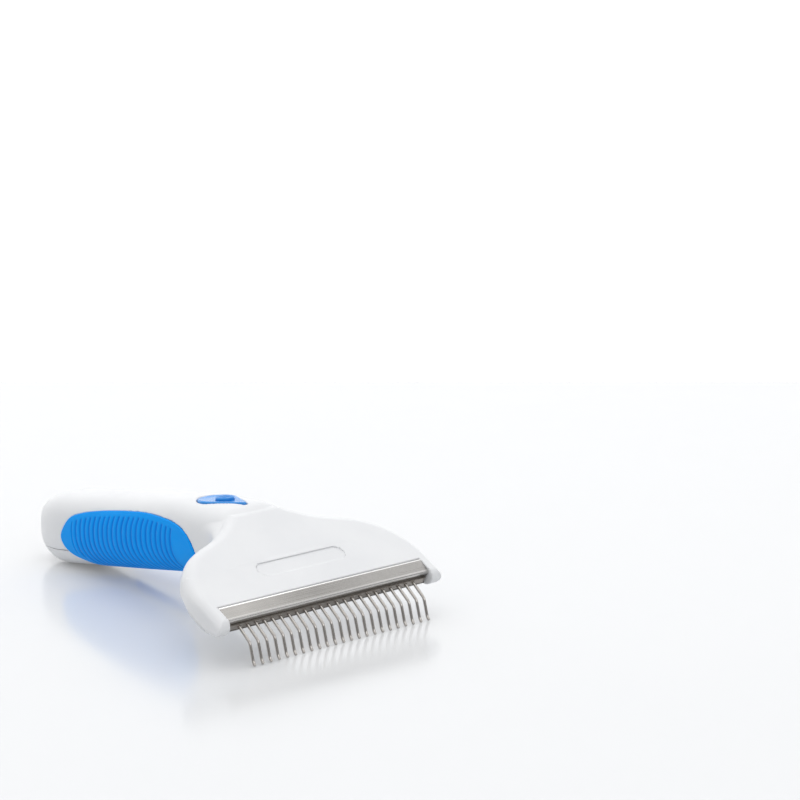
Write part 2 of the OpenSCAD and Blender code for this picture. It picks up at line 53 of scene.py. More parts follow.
# ======================= camera =======================
YAW = math.radians(42.88)
PITCH = math.radians(12.22)
cam_data = bpy.data.cameras.new("camera")
cam_data.lens = 137.9
cam_data.sensor_width = 36
cam_data.clip_end = 50
camera = bpy.data.objects.new("camera", cam_data)
scene.collection.objects.link(camera)
camera.location = (-0.7403, -0.91974, 0.3346)
look = Vector((math.cos(PITCH) * math.sin(YAW), math.cos(PITCH) * math.cos(YAW), -math.sin(PITCH)))
camera.rotation_euler = look.to_track_quat("-Z", "Y").to_euler()
scene.camera = camera

# ======================= the CAD's curves, in numpy =======================
TOP = [[36, 34.0], [44, 38.3], [50, 41.5], [56, 43.9], [68, 43.6], [80, 42.8], [95, 41.2],
       [116, 38.0], [140, 33.9], [165, 30.2], [185, 29.0]]
BOTTOM = [[36, 25.5], [43, 22.6], [49, 18.4], [56, 16.2], [66, 15.2], [79, 13.3], [104, 9.4],
          [137, 4.3], [156, 1], [166, -0.3], [185, -0.4]]
WIDTH = [[36, 18.5], [46, 18], [56, 17.2], [68, 16.4], [90, 15.7], [118, 16], [145, 15.4],
         [165, 14.6], [185, 14.2]]
GRIP_TOP = [[67.4, 23.5], [69.7, 27.3], [73, 30.9], [77, 33.1], [83, 34.5], [98, 34.8],
            [110, 33.5], [123, 31.3], [134, 29], [143, 26.5], [150, 23.6], [154.4, 19],
            [156.5, 15.5]]
GRIP_EDGE = [[67.4, -28], [71, -42], [75.5, -54], [82, -74], [95, -83], [130, -83], [137, -66],
             [142.5, -46], [149, -30], [154, -15], [156.5, -4]]
GRIP_START, GRIP_END = 67.4, 156.5  # stations of the grips' ends
SQUARE = 2.9         # squareness of the handle's section, 2 being an ellipse
TAIL = 183.0         # station of the tail's end
ROUND_FROM = 158.0   # station from which the tail rounds off
TAIL_POWER = 2.2     # fullness of that rounding
HANDLE_FRONT = 36.0


def curve(p, x):
    """Catmull-Rom curve through [x, y] points, read at x."""
    p = np.asarray(p, float)
    last = len(p) - 2
    x = np.asarray(x, float)
    i = np.clip(np.searchsorted(p[:, 0], x) - 1, 0, last)
    full = np.vstack([2 * p[0] - p[1], p, 2 * p[-1] - p[-2]])
    a, b, before, after = full[i + 1], full[i + 2], full[i], full[i + 3]
    m0 = (b[..., 1] - before[..., 1]) / (b[..., 0] - before[..., 0])
    m1 = (after[..., 1] - a[..., 1]) / (after[..., 0] - a[..., 0])
    w = b[..., 0] - a[..., 0]
    t = (x - a[..., 0]) / w
    return ((2 * t ** 3 - 3 * t ** 2 + 1) * a[..., 1] + (t ** 3 - 2 * t ** 2 + t) * w * m0
            + (3 * t ** 2 - 2 * t ** 3) * b[..., 1] + (t ** 3 - t ** 2) * w * m1)


LINE_S = np.arange(-20, 200.01, 0.25)
TOP_T, BOTTOM_T, WIDTH_T = (curve(p, np.clip(LINE_S, 30, 186)) for p in (TOP, BOTTOM, WIDTH))


def read(table, s):
    return np.interp(s, LINE_S, table)


def sections(s):
    """Half width, half height and middle height of the handle, before the tail rounds off."""
    top, bottom = read(TOP_T, s), read(BOTTOM_T, s)
    return read(WIDTH_T, s), (top - bottom) / 2, (top + bottom) / 2 + LIFT


# The handle is lifted so that the underside of its tail touches the floor
LIFT = 0.0
_s = np.arange(150, 182, 0.5)
_w, _h, _m = sections(_s)
_q = np.clip((_s - ROUND_FROM) / (TAIL - ROUND_FROM), 0, 1)
LIFT = -float((_m - _h * (1 - _q ** TAIL_POWER) ** (1 / TAIL_POWER)).min())


def smax(a, b, k):
    """Where both are below zero, with the corner eased over a width k."""
    return np.maximum(a, b) + np.maximum(k - np.abs(a - b), 0) ** 2 / (4 * k)


def smin(a, b, k):
    """Where either is below zero, with the valley filled over a width k."""
    return -smax(-a, -b, k)


def rmax(a, b, r):
    """Where both are below zero, with the corner rounded to radius r."""
    return np.minimum(np.maximum(a, b), -r) + np.hypot(np.maximum(a + r, 0), np.maximum(b + r, 0))


def step(v):
    """Eased rise from 0 to 1."""
    v = np.clip(v, 0, 1)
    return v * v * (3 - 2 * v)


def bilinear(table, i, j):
    """Value of a table between its cells."""
    i = np.clip(i, 0, table.shape[0] - 1.001)
    j = np.clip(j, 0, table.shape[1] - 1.001)
    a, b = i.astype(int), j.astype(int)
    p, q = i - a, j - b
    return ((table[a, b] * (1 - p) + table[a + 1, b] * p) * (1 - q)
            + (table[a, b + 1] * (1 - p) + table[a + 1, b + 1] * p) * q)


class Outline:
    """Distance to a closed outline in a plane, below zero inside, kept as a table."""

    def __init__(self, points, cell, margin, blur=0):
        p = np.asarray(points, float)
        self.low = p.min(0) - margin
        size = ((p.max(0) + margin - self.low) / cell).astype(int) + 2
        self.cell = cell
        g = np.stack(np.meshgrid(*(self.low[k] + cell * np.arange(size[k]) for k in (0, 1)),
                                 indexing="ij"), -1)
        best = np.full(g.shape[:2], 1e9)
        inside = np.zeros(g.shape[:2], bool)
        for a, b in zip(p, np.roll(p, -1, 0)):
            ab = b - a
            t = np.clip(((g - a) @ ab) / max(ab @ ab, 1e-12), 0, 1)
            best = np.minimum(best, np.hypot(*np.moveaxis(g - a - t[..., None] * ab, -1, 0)))
            if a[1] != b[1]:
                cross = a[0] + (g[..., 1] - a[1]) * (b[0] - a[0]) / (b[1] - a[1])
                inside ^= ((g[..., 1] < a[1]) != (g[..., 1] < b[1])) & (g[..., 0] < cross)
        table = np.where(inside, -best, best)
        if blur:
            reach = int(3 * blur / cell)
            w = np.exp(-0.5 * (np.arange(-reach, reach + 1) * cell / blur) ** 2)
            w /= w.sum()
            for axis in (0, 1):
                table = np.apply_along_axis(
                    lambda row: np.convolve(np.pad(row, reach, "edge"), w, "valid"), axis, table)
        self.table = table

    def __call__(self, a, b):
        return bilinear(self.table, (a - self.low[0]) / self.cell, (b - self.low[1]) / self.cell)


# ---- the head's plane and the tine shanks' line ----
SLOPE = math.radians(28)
SHANK = math.radians(38.3)
EDGE_S, EDGE_Z = 12.1, 21.4
CS, SN = math.cos(SLOPE), math.sin(SLOPE)
THICK = 10.4          # thickness of the head
WALL = 2.0            # wall of the shells
CHANNEL_HALF = 50.8   # half the length of the steel channel
MOUTH_U, MOUTH_T = -6.6, -5.1


def head_pt(u, t):
    """Station and height of a point u up the head's face and t above it."""
    return EDGE_S + u * CS - t * SN, EDGE_Z + u * SN + t * CS


def to_head(s, z):
    """The head's own u and t of a point."""
    ds, dz = s - EDGE_S, z - EDGE_Z
    return ds * CS + dz * SN, dz * CS - ds * SN


def in_shank(u, t):
    """A point of the head on the shank's own axes."""
    q = SHANK - SLOPE
    du, dt = u - MOUTH_U, t - MOUTH_T
    return du * math.cos(q) + dt * math.sin(q), dt * math.cos(q) - du * math.sin(q)


MOUTH = head_pt(MOUTH_U, MOUTH_T)


def shank_pt(a, b):
    """Station and height of a point on the shank's own axes."""
    c, n = math.cos(SHANK), math.sin(SHANK)
    return MOUTH[0] + a * c - b * n, MOUTH[1] + a * n + b * c


# ---- plan of the head ----
SIDE_X, FRONT_U = 56.2, -9.6
CORNER_R, BACK_SLOPE, NECK_X, NECK_S = 22.0, 0.3, 14.0, 44.8
CORNER_X = SIDE_X - CORNER_R
BACK_OUT, BACK_SWELL = 1.2, 2.2  # how much fuller the back edge is at its ends and in its middle
SWELL_END, SWELL_FADE = 34, 18
WEB = 6.0                        # how far the back edge runs up beside the neck
WEB_END, WEB_SPAN, WEB_POWER = 29, 17, 1.9


def head_back_u(x):
    """The head's back edge at x: a straight run, then a round corner."""
    turn = math.atan(BACK_SLOPE)
    knee_x = CORNER_X + CORNER_R * math.sin(turn)
    centre = NECK_S - BACK_SLOPE * (knee_x - NECK_X) - CORNER_R * math.cos(turn)
    if x < knee_x:
        back = NECK_S - BACK_SLOPE * (x - NECK_X)
    else:
        back = centre + math.sqrt(max(0, CORNER_R ** 2 - (x - CORNER_X) ** 2))
    return (back - EDGE_S) / CS + BACK_OUT + BACK_SWELL * (1 - step((x - SWELL_END) / SWELL_FADE))


corner_xs = [CORNER_X + CORNER_R * math.cos(math.radians(a)) for a in range(0, 75, 3)]
half_plan = [(SIDE_X, FRONT_U)] + [(x, head_back_u(x)) for x in corner_xs]
half_plan += [(x, head_back_u(x) + WEB * max(0, (WEB_END - x) / WEB_SPAN) ** WEB_POWER)
              for x in range(38, 11, -2)]
half_plan += [(x, half_plan[-1][1]) for x in (8, 4)]
PLAN = Outline(half_plan + [(-x, u) for x, u in half_plan[::-1]], 0.5, 8)
# Room for the channel and what it holds, on the shank's axes
CARTRIDGE = Outline([(-25, -30), (0.2, -30), (0.2, -2.2), (10, -2.2), in_shank(2, -WALL),
                     in_shank(0.2, -WALL), in_shank(0.2, 0), (8, 30), (-25, 30)], 0.2, 2)

# ---- teardrop of the button ----
BUTTON_S, TIP_S, BUTTON_R, TIP_R = 73.5, 57.7, 8.0, 1.2
turn = math.degrees(math.asin((BUTTON_R - TIP_R) / (BUTTON_S - TIP_S)))
drop = [(BUTTON_R * math.sin(math.radians(a)), BUTTON_S + BUTTON_R * math.cos(math.radians(a)))
        for a in np.linspace(-90 - turn, 90 + turn, 60)]
drop += [(TIP_R * math.sin(math.radians(a)), TIP_S + TIP_R * math.cos(math.radians(a)))
         for a in np.linspace(90 + turn, 270 - turn, 14)]
DROP = Outline(drop, 0.15, 6)


# ---- handle ----
def handle(ax, s, z, with_up=False):
    """Distance from the handle's skin, below zero inside, and how far that skin faces up."""
    hw, hh, mz = sections(s)
    wx, wz = ax / hw, (z - mz) / hh
    az = np.abs(wz) + 1e-6
    px, pz = wx ** (SQUARE - 1), az ** (SQUARE - 1)
    rn = px * wx + pz * az
    r0 = rn ** (1 / SQUARE)
    g0 = np.hypot(px / hw, pz / hh) / r0 ** (SQUARE - 1)
    q = np.maximum(s - ROUND_FROM, 0) / (TAIL - ROUND_FROM)
    r = (r0 ** TAIL_POWER + q ** TAIL_POWER) ** (1 / TAIL_POWER)
    g = np.hypot((r0 / r) ** (TAIL_POWER - 1) * g0,
                 (q / r) ** (TAIL_POWER - 1) / (TAIL - ROUND_FROM))
    if with_up:
        return (r - 1) / g, np.sign(wz) * pz / hh / np.hypot(px / hw, pz / hh)
    return (r - 1) / g


RING_S = np.arange(60, 165.1, 1.0)
RING_A = np.radians(np.arange(-90, 90.1, 1.0))
_w, _h, _m = sections(RING_S)
_x = _w[:, None] * np.cos(RING_A) ** (2 / SQUARE)
_z = _h[:, None] * np.sign(np.sin(RING_A)) * np.abs(np.sin(RING_A)) ** (2 / SQUARE)
ARC = np.concatenate([np.zeros((len(RING_S), 1)),
                      np.cumsum(np.hypot(np.diff(_x, axis=1), np.diff(_z, axis=1)), axis=1)], 1)


def arc_at(s, angle):
    """Length round the section to an angle, from the middle of its underside."""
    return bilinear(ARC, s - RING_S[0], (np.degrees(angle) + 90))


def round_handle(ax, s, z):
    """How far round the handle's section a point lies, from the middle of its underside."""
    hw, hh, mz = sections(s)
    wx, wz = ax / hw, (z - mz) / hh
    return arc_at(s, np.arctan2(np.sign(wz) * np.abs(wz) ** (SQUARE / 2), wx ** (SQUARE / 2)))


# The grip's outline, laid flat round the handle's side
gs = np.linspace(GRIP_START, GRIP_END, 90)
_w, _h, _m = sections(gs)
_rel = np.clip((curve(GRIP_TOP, gs) + LIFT - _m) / _h, -1, 1)
top_arc = arc_at(gs, np.arcsin(np.sign(_rel) * np.abs(_rel) ** (SQUARE / 2)))
low_arc = arc_at(gs, np.radians(curve(GRIP_EDGE, gs)))
GRIP = Outline(list(zip(gs, low_arc)) + list(zip(gs[::-1], top_arc[::-1])), 0.25, 6, blur=0.9)
GRIP_PROUD, GRIP_DEEP = 0.5, 1.1

# ---- parting line of the shells ----
PART_GAP = 0.06  # half the gap between the shells
JOINT_T = -THICK + WALL + 0.2
_joint = [head_pt(-16, JOINT_T), head_pt(31, JOINT_T)]
for _st in range(48, 189, 6):
    _w, _h, _m = sections(float(_st))
    _joint.append((_st, float(_m) - 0.55 * np.interp(_st, [40, 60, 130, 185], [8, 14, 14.5, 13.5])))
_joint = np.array(_joint)
JOINT_LINE = np.interp(LINE_S, _joint[:, 0], _joint[:, 1])
_k = np.exp(-0.5 * (np.arange(-16, 17) * 0.25 / 1.2) ** 2)
JOINT_LINE = np.convolve(np.pad(JOINT_LINE, 16, "edge"), _k / _k.sum(), "valid")
JOINT_COS = 1 / np.sqrt(1 + np.gradient(JOINT_LINE, LINE_S) ** 2)


def above_joint(s, z):
    """Distance above the parting line."""
    return (z - read(JOINT_LINE, s)) * read(JOINT_COS, s)


HANG_S, HANG_R, HANG_REACH = 169.5, 4.5, 2.75


def hang_way(ax, s):
    """Distance from the hanging slot's outline, below zero inside the slot."""
    return np.hypot(ax, np.maximum(np.abs(s - HANG_S) - HANG_REACH, 0)) - HANG_R


CHIN_EASE = 2.8


def head(ax, u, t):
    """Distance from the head's skin, below zero inside."""
    plan = PLAN(ax, u)
    droop = 0.3 * np.clip((u - 20) / 14, 0, 1) ** 2 * step((ax - 24) / 12)
    body = rmax(plan, np.maximum(t + droop, -THICK - t), 3.4 + 1.4 * step((u - 2) / 14))
    chin = (u + 8.3) * -0.452 + (t + 6.8) * -0.892
    return smax(body, chin, CHIN_EASE)


HEAD_SCREWS = [(40, 20.5), (22, 27)]            # x and u
HANDLE_SCREWS = [98, 126, 152]                  # stations
BLOCK_SCREWS = [(10, 63, 32), (6, 87.4, 36.2)]  # x, station and height of the boss's foot
HEAD_BOSS_R, HANDLE_BOSS_R, BLOCK_BOSS_R = 2.8, 3.6, 2.4
HEAD_GRIP, HANDLE_GRIP, BLOCK_GRIP = 5, 8, 3    # lengths of screw in each boss
HEAD_SINK, HANDLE_SINK = 1.2, 3                 # depths of the pockets for the screws' heads
THREAD_R, CLEAR_R, POCKET_R = 0.85, 1.1, 2.3
FAR = 50                                        # past every surface


def shell_body(x, s, z):
    """Both shells together, before they are parted."""
    x, s, z = np.broadcast_arrays(x, s, z)
    ax = np.abs(x)
    u, t = to_head(s, z)
    grip_way, up = handle(ax, s, z, with_up=True)
    hd = head(ax, u, t)
    blend = 0.4 + 9 * (1 - step((up - 0.15) / 0.7))
    outer = smin(np.maximum(grip_way, HANDLE_FRONT - s), hd, blend)
    room = hd + WALL
    inner_head = np.maximum(room, np.minimum(np.maximum(-2.5 - u, ax - CHANNEL_HALF), 5.6 - u))
    inner = np.minimum(np.maximum(grip_way + WALL, HANDLE_FRONT + 3 - s), inner_head)
    boss = hang_way(ax, s) - WALL
    for px, pu in HEAD_SCREWS:
        boss = np.minimum(boss, np.hypot(ax - px, u - pu) - HEAD_BOSS_R)
    for ps in HANDLE_SCREWS:
        boss = np.minimum(boss, np.hypot(ax, s - ps) - HANDLE_BOSS_R)
    for px, ps, z0 in BLOCK_SCREWS:
        boss = np.minimum(boss, np.maximum(np.hypot(ax - px, s - ps) - BLOCK_BOSS_R, z0 - z))
    f = smax(outer, -np.maximum(inner, -boss), 0.5)
    ds, dz = s - MOUTH[0], z - MOUTH[1]
    a = ds * math.cos(SHANK) + dz * math.sin(SHANK)
    b = dz * math.cos(SHANK) - ds * math.sin(SHANK)
    f = smax(f, -np.maximum(CARTRIDGE(a, b), ax - CHANNEL_HALF - 0.1), 0.3)
    f = rmax(f, -hang_way(ax, s), 0.6)
    near = (np.abs(grip_way) < 3) & (s > 64) & (s < 160)
    if near.any():
        xs, ss, zs, g = ax[near], s[near], z[near], grip_way[near]
        pocket = np.maximum(GRIP(ss, round_handle(xs, ss, zs)) - 0.05, -g - GRIP_DEEP)
        f[near] = smax(f[near], -pocket, 0.12)
    return f


def hole(f, across, low, high, r, edge=0.25):
    """Cuts a round hole of radius r between two heights out of f."""
    return smax(f, -np.maximum(across - r, np.maximum(low, high)), edge)


PANEL_HALF, PANEL_U, PANEL_R, PANEL_DEPTH = 17.9, 13.2, 3.6, 0.5  # label recess


def upper_shell(x, s, z):
    f = shell_body(x, s, z)
    ax = np.abs(x)
    u, t = to_head(s, z)
    panel = np.hypot(np.maximum(ax - PANEL_HALF, 0), u - PANEL_U) - PANEL_R
    f = smax(f, -np.maximum(panel, -(t + PANEL_DEPTH)), 0.15)
    f = smax(f, -np.maximum(DROP(x, s) - 0.3, 30 - z), 0.7)
    for px, pu in HEAD_SCREWS:
        f = hole(f, np.hypot(ax - px, u - pu), t - JOINT_T - HEAD_GRIP, -FAR - t, THREAD_R)
    for ps in HANDLE_SCREWS:
        f = hole(f, np.hypot(ax, s - ps), above_joint(s, z) - HANDLE_GRIP, -FAR - z, THREAD_R)
    for px, ps, z0 in BLOCK_SCREWS:
        f = hole(f, np.hypot(ax - px, s - ps), z - z0 - BLOCK_GRIP, z0 - 2 - z, THREAD_R)
    return smax(f, PART_GAP - above_joint(s, z), 0.45)


def lower_shell(x, s, z):
    f = shell_body(x, s, z)
    ax = np.abs(x)
    u, t = to_head(s, z)
    for px, pu in HEAD_SCREWS:
        across = np.hypot(ax - px, u - pu)
        f = hole(f, across, t, -FAR - t, CLEAR_R)
        f = hole(f, across, t + THICK - HEAD_SINK, -FAR - t, POCKET_R, 0.4)
    for ps in HANDLE_SCREWS:
        across = np.hypot(ax, s - ps)
        bottom = float(np.interp(ps, LINE_S, BOTTOM_T)) + LIFT
        f = hole(f, across, z - 30, -FAR - z, CLEAR_R)
        f = hole(f, across, z - bottom - HANDLE_SINK, -FAR - z, POCKET_R, 0.4)
    return smax(f, PART_GAP + above_joint(s, z), 0.45)


GROOVE_PITCH, GROOVE_BOW, GROOVE_APEX = 3.1, 18.0, 23.5
GROOVE_HALF, GROOVE_DEPTH = 1.15, 0.36
GROOVE_FROM, GROOVE_TO = 82.3, 149


def groove_amount(s, z, arc, edge):
    """1 at the bottom of a groove and 0 on a rib. Grooves bow backwards round the side."""
    _, _, mz = sections(s)
    apex = GROOVE_APEX + (mz - 22.9) * 0.9
    y = np.clip(z - apex, -14, 12)
    y = y - np.maximum(0, 9 - arc) * 0.6
    bow = GROOVE_BOW - np.sqrt(np.maximum(GROOVE_BOW ** 2 - np.clip(y, -16, 16) ** 2, 0.5))
    phase = (s + bow - 83.6) / GROOVE_PITCH
    off = np.abs(phase - np.round(phase)) * GROOVE_PITCH
    amount = step(1 - off / GROOVE_HALF) * step((-edge - 2.0) / 1.0)
    return amount * step((s + bow - GROOVE_FROM) / 0.6) * step((GROOVE_TO - s - bow) / 0.6)


def grip(x, s, z, want_amount=False):
    x, s, z = np.broadcast_arrays(x, s, z)
    ax = np.abs(x)
    g = handle(ax, s, z)
    arc = round_handle(ax, s, z)
    edge = GRIP(s, arc)
    amount = groove_amount(s, z, arc, edge)
    if want_amount:
        return amount
    f = rmax(edge, g - GRIP_PROUD + GROOVE_DEPTH * amount, 0.5)
    return smax(f, -g - GRIP_DEEP + PART_GAP, 0.2)


CAP_TOP, CAP_SLOPE = 43.1, math.radians(5)
ROOF_Z, STEM_R, STEM_BOTTOM = 40.2, 5.0, 27.4
PAD_S, PAD_R, PAD_TOP = 69.0, 3.7, 1.1


def button(x, s, z):
    ax = np.abs(x)
    tear = DROP(x, s)
    top = (s - BUTTON_S) * math.sin(CAP_SLOPE) + (z - CAP_TOP) * math.cos(CAP_SLOPE)
    dish = 0.35 * step((-tear - 0.6) / 3.0)
    cap = smax(rmax(tear, top + dish, 0.8), 37 - z, 0.3)
    cap = smax(cap, -np.maximum(tear + 1, z - ROOF_Z), 0.3)
    seat_y, seat_z = on_pad(s, z)
    cap = smax(cap, -np.maximum(np.hypot(ax, seat_y) - PAD_R - 0.08, -0.8 - seat_z), 0.25)
    stem = np.maximum(np.hypot(ax, s - BUTTON_S) - STEM_R,
                      np.maximum(STEM_BOTTOM - z, z - ROOF_Z - 0.5))
    rail = np.minimum(np.maximum(ax - 1.55, np.maximum(25 - z, z - 29.6)),
                      np.maximum(ax - 3.25, np.maximum(28.55 - z, z - 30.05)))
    stem = smax(stem, -rail, 0.15)
    return smin(cap, stem, 0.3)


def on_pad(s, z):
    """Place along and above the thumb pad's seat."""
    pad_z = CAP_TOP + (BUTTON_S - PAD_S) * math.tan(CAP_SLOPE)
    ds, dz = s - PAD_S, z - pad_z
    return (ds * math.cos(CAP_SLOPE) - dz * math.sin(CAP_SLOPE),
            dz * math.cos(CAP_SLOPE) + ds * math.sin(CAP_SLOPE))


def thumb_pad(x, s, z):
    y, h = on_pad(s, z)
    rho = np.hypot(x, y)
    f = rmax(rho - PAD_R, h - PAD_TOP + 0.012 * rho ** 2, 0.6)
    for i in (-1, 0, 1):
        slot = np.hypot(np.maximum(np.abs(x) - 2.1, 0), y - i * 1.7)
        f = smax(f, -(np.hypot(slot, (h - 1.15)) - 0.5), 0.2)
    return smax(f, -0.75 - h, 0.2)


# ======================= meshing =======================
POOL = ThreadPoolExecutor(4)


def pieces_of(n, size):
    return [slice(i, min(i + size, n)) for i in range(0, n, size)]


def at_points(fun, p):
    """fun at each row of p, worked out in parallel."""
    parts = pieces_of(len(p), 20000)
    return np.concatenate(list(POOL.map(lambda k: fun(p[k, 0], p[k, 1], p[k, 2]), parts)))


def gradient(fun, p, eps=0.03):
    g = np.empty_like(p)
    for axis in range(3):
        e = np.zeros(3)
        e[axis] = eps
        g[:, axis] = (at_points(fun, p + e) - at_points(fun, p - e)) / (2 * eps)
    return g


def project(fun, p, rounds, most):
    """Moves points onto fun = 0, each by no more than most in a round."""
    for _ in range(rounds):
        g = gradient(fun, p)
        move = g * (at_points(fun, p) / np.maximum((g * g).sum(1), 0.1))[:, None]
        size = np.linalg.norm(move, axis=1)
        p = p - move * np.minimum(1, most / np.maximum(size, 1e-9))[:, None]
    return p


def surface(fun, low, high, h, both=False):
    """Closed quad mesh of fun = 0: one point in each crossed cell, then moved onto the surface."""
    xs = np.arange(h / 2 if both else low[0], high[0] + h, h)
    ys = np.arange(low[1], high[1] + h, h)
    zs = np.arange(low[2], high[2] + h, h)
    slabs = POOL.map(lambda k: fun(xs[k, None, None], ys[None, :, None], zs[None, None, :]),
                     pieces_of(len(xs), 8))
    f = np.concatenate([np.asarray(v, np.float32) for v in slabs])
    if both:
        f = np.concatenate([f[::-1], f])
        xs = np.concatenate([-xs[::-1], xs])
    inside = f < 0
    count = sum(inside[i:len(xs) - 1 + i, j:len(ys) - 1 + j, k:len(zs) - 1 + k].astype(np.int8)
                for i in (0, 1) for j in (0, 1) for k in (0, 1))
    cell = np.argwhere((count > 0) & (count < 8))
    index = np.full(count.shape, -1, np.int32)
    index[tuple(cell.T)] = np.arange(len(cell))
    corners = [(i, j, k) for i in (0, 1) for j in (0, 1) for k in (0, 1)]
    value = {c: f[tuple((cell + c).T)] for c in corners}
    total, number = np.zeros((len(cell), 3)), np.zeros(len(cell))
    for c in corners:
        for axis in range(3):
            if c[axis]:
                continue
            d = tuple(c[k] + (k == axis) for k in range(3))
            hit = (value[c] < 0) != (value[d] < 0)
            t = np.where(hit, value[c] / np.where(hit, value[c] - value[d], 1), 0)
            point = np.repeat(np.array(c, float)[None], len(cell), 0)
            point[:, axis] += t
            total += point * hit[:, None]
            number += hit
    origin = np.array([xs[0], ys[0], zs[0]])
    p = origin + h * (cell + total / number[:, None])
    quads = []
    for axis in range(3):
        v, w = (axis + 1) % 3, (axis + 2) % 3
        first = [slice(1, -1)] * 3
        first[axis] = slice(0, -1)
        second = list(first)
        second[axis] = slice(1, None)
        here, there = inside[tuple(first)], inside[tuple(second)]
        at = np.argwhere(here != there)
        flip = ~here[tuple(at.T)]
        at[:, v] += 1
        at[:, w] += 1
        ring = []
        for dv, dw in ((-1, -1), (0, -1), (0, 0), (-1, 0)):
            q = at.copy()
            q[:, v] += dv
            q[:, w] += dw
            ring.append(index[tuple(q.T)])
        ring = np.stack(ring, 1)
        ring[flip] = ring[flip][:, ::-1]
        quads.append(ring)
    quads = np.concatenate(quads)
    e0 = quads.ravel()
    e1 = np.roll(quads, -1, 1).ravel()
    p = project(fun, p, 2, 0.5 * h)
    for _ in range(3):
        around = np.stack([np.bincount(e0, p[e1, c], len(p)) + np.bincount(e1, p[e0, c], len(p))
                           for c in range(3)], 1)
        around /= (np.bincount(e0, minlength=len(p)) + np.bincount(e1, minlength=len(p)))[:, None]
        p = project(fun, p + 0.5 * (around - p), 1, 0.5 * h)
    p = project(fun, p, 2, 0.3 * h)
    g = gradient(fun, p)
    return p, quads, g / np.maximum(np.linalg.norm(g, axis=1), 1e-9)[:, None]


def to_frame(p):
    return (np.asarray(p, float) - (0, MID, 0)) * MM


def build(name, p, faces, normals=None, smooth=True):
    """Mesh object from points in millimetres. Faces are an array of quads or a plain list."""
    me = bpy.data.meshes.new(name)
    p = to_frame(p)
    if isinstance(faces, np.ndarray):
        me.vertices.add(len(p))
        me.vertices.foreach_set("co", p.ravel().astype(np.float32))
        me.loops.add(faces.size)
        me.loops.foreach_set("vertex_index", faces.ravel().astype(np.int32))
        me.polygons.add(len(faces))
        starts = np.arange(0, faces.size, faces.shape[1], dtype=np.int32)
        me.polygons.foreach_set("loop_start", starts)
        me.update(calc_edges=True)
    else:
        me.from_pydata([tuple(v) for v in p], [], faces)
    me.validate()
    me.polygons.foreach_set("use_smooth", np.full(len(me.polygons), smooth))
    if normals is not None:
        me.normals_split_custom_set_from_vertices(normals.astype(np.float32))
    me.update()
    o = bpy.data.objects.new(name, me)
    scene.collection.objects.link(o)
    return o


def finish_piece(o, body, slot, material, *nodes):
    """Gives a piece its material, body and the CAD nodes it stands for. The slot argument is not
    used.
    """
    o.data.materials.clear()
    o.data.materials.append(material)
    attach(o, body)
    if nodes:
        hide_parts(*nodes)
    return o


def sweep(name, path, r, sides, tip=False):
    """Round wire along a path of 3-D points, with flat or round ends."""
    path = np.asarray(path, float)
    way = np.gradient(path, axis=0)
    way /= np.linalg.norm(way, axis=1)[:, None]
    radii = np.full(len(path), r)
    if tip:
        end, d = path[-1], way[-1]
        for a in (18, 36, 54, 70, 82):
            q = math.radians(a)
            path = np.vstack([path, end + d * r * math.sin(q)])
            way = np.vstack([way, d])
            radii = np.append(radii, r * math.cos(q))
    points, ref = [], None
    for c, w, rr in zip(path, way, radii):
        if ref is None:
            ref = np.cross(w, [0, 0, 1.0] if abs(w[2]) < 0.9 else [1.0, 0, 0])
        ref = ref - w * (ref @ w)
        ref /= np.linalg.norm(ref)
        other = np.cross(w, ref)
        for k in range(sides):
            b = 2 * math.pi * k / sides
            points.append(c + rr * (math.cos(b) * ref + math.sin(b) * other))
    n = len(path)
    faces = [[j * sides + k, j * sides + (k + 1) % sides, (j + 1) * sides + (k + 1) % sides,
              (j + 1) * sides + k] for j in range(n - 1) for k in range(sides)]
    faces.append(list(range(sides))[::-1])
    faces.append([(n - 1) * sides + k for k in range(sides)])
    return build(name, points, faces)


def extrude(name, outline, x0, x1, bevel=0.12):
    """A (station, height) outline run across from x0 to x1, with its end edges eased."""
    outline = np.asarray(outline, float)
    n = len(outline)
    side = np.roll(outline, -1, 0) - np.roll(outline, 1, 0)
    side /= np.linalg.norm(side, axis=1)[:, None]
    inward = np.stack([-side[:, 1], side[:, 0]], 1)
    after = np.roll(outline, -1, 0)
    area = 0.5 * np.sum(outline[:, 0] * after[:, 1] - after[:, 0] * outline[:, 1])
    if area < 0:
        inward = -inward
    rings = [(x0, bevel), (x0 + 0.3 * bevel, 0.3 * bevel), (x0 + bevel, 0),
             (x1 - bevel, 0), (x1 - 0.3 * bevel, 0.3 * bevel), (x1, bevel)]
    points = [(x, *(outline[i] + inward[i] * cut)) for x, cut in rings for i in range(n)]
    faces = [[j * n + i, (j + 1) * n + i, (j + 1) * n + (i + 1) % n, j * n + (i + 1) % n]
             for j in range(len(rings) - 1) for i in range(n)]
    faces.append(list(range(n)))
    faces.append([(len(rings) - 1) * n + i for i in range(n)][::-1])
    if area < 0:
        faces = [f[::-1] for f in faces]
    return build(name, points, faces)


# ======================= materials =======================
def new_material(name, base, rough, metal=0.0, **sockets):
    """A principled material, with its tree's nodes and links and its shader."""
    m = bpy.data.materials.new(name)
    m.use_nodes = True
    nodes, links = m.node_tree.nodes, m.node_tree.links
    shader = nodes["Principled BSDF"]
    shader.inputs["Base Color"].default_value = (*base, 1)
    shader.inputs["Roughness"].default_value = rough
    shader.inputs["Metallic"].default_value = metal
    for key, value in sockets.items():
        shader.inputs[key.replace("_", " ")].default_value = value
    return m, nodes, links, shader


def node(nodes, kind, **values):
    n = nodes.new(kind)
    for key, value in values.items():
        if key in n.inputs:
            n.inputs[key].default_value = value
        else:
            setattr(n, key, value)
    return n


